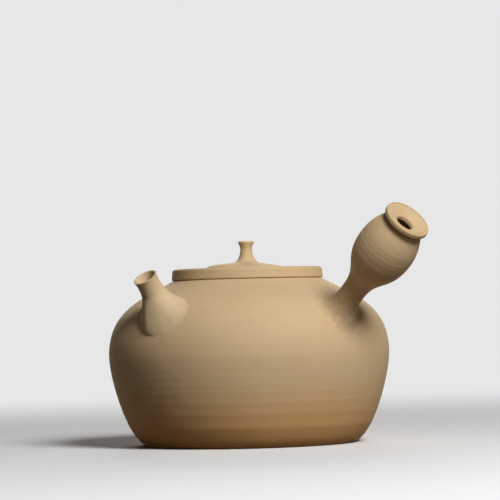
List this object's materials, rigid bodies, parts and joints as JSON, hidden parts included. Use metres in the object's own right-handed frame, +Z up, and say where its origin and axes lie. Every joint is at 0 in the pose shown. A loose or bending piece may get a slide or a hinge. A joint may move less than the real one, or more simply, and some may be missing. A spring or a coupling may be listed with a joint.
{
  "type": "clay kettle",
  "caption": "Squat unglazed clay kettle with a short flared spout, a hollow bulb-shaped side handle and a flat lift-off lid with a small knob.",
  "frame": {"origin": "centre of the flat underside that the kettle stands on", "axes": "+Z up; the spout points along -X and the side handle along -Y, each rising outwards"},
  "size_m": [0.1446, 0.1859, 0.1159],
  "materials": {
    "pot_clay": "matt unglazed fired clay",
    "spout_clay": "matt unglazed fired clay",
    "handle_clay": "matt unglazed fired clay with fine throwing rings",
    "lid_clay": "matt unglazed fired clay"
  },
  "bodies": {
    "kettle": {"kettle_body": "pot_clay", "spout": "spout_clay", "spout_luting_coil": "spout_clay", "handle": "handle_clay", "handle_luting_coil": "handle_clay", "handle_end_ring": "handle_clay"},
    "lid": {"lid": "lid_clay", "lid_flange": "lid_clay", "lid_knob": "lid_clay"}
  },
  "joints": [
    {"name": "lid_lift", "type": "slide", "parent": "kettle", "child": "lid", "axis": [0, 0, 1], "range_m": [0, 0.06]}
  ]
}
